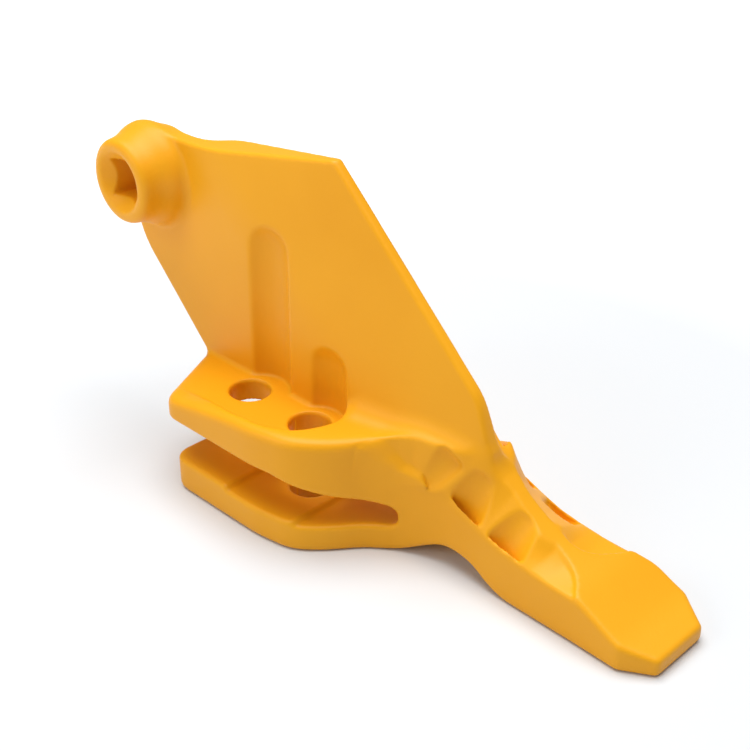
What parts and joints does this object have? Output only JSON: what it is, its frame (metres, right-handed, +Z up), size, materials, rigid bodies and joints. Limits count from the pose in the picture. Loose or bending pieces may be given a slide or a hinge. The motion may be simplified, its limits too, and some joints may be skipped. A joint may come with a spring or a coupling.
{
  "type": "excavator bucket tooth",
  "caption": "Bolt-on side cutter tooth for an excavator bucket: shovel-tipped nose, lip fork with bolt holes, leaning side blade and a bolt boss.",
  "frame": {"origin": "bottom centre of the bounding box, on the ground plane that the lower jaw and the tip rest on", "axes": "+X forward to the digging tip, +Y outboard, towards the bucket's outer side, +Z up"},
  "size_m": [0.362, 0.104, 0.1825],
  "materials": {
    "painted_casting": "semi-gloss orange-yellow enamel over a cast steel surface"
  },
  "bodies": {
    "root": {"side_tooth_casting": "painted_casting"}
  },
  "joints": []
}
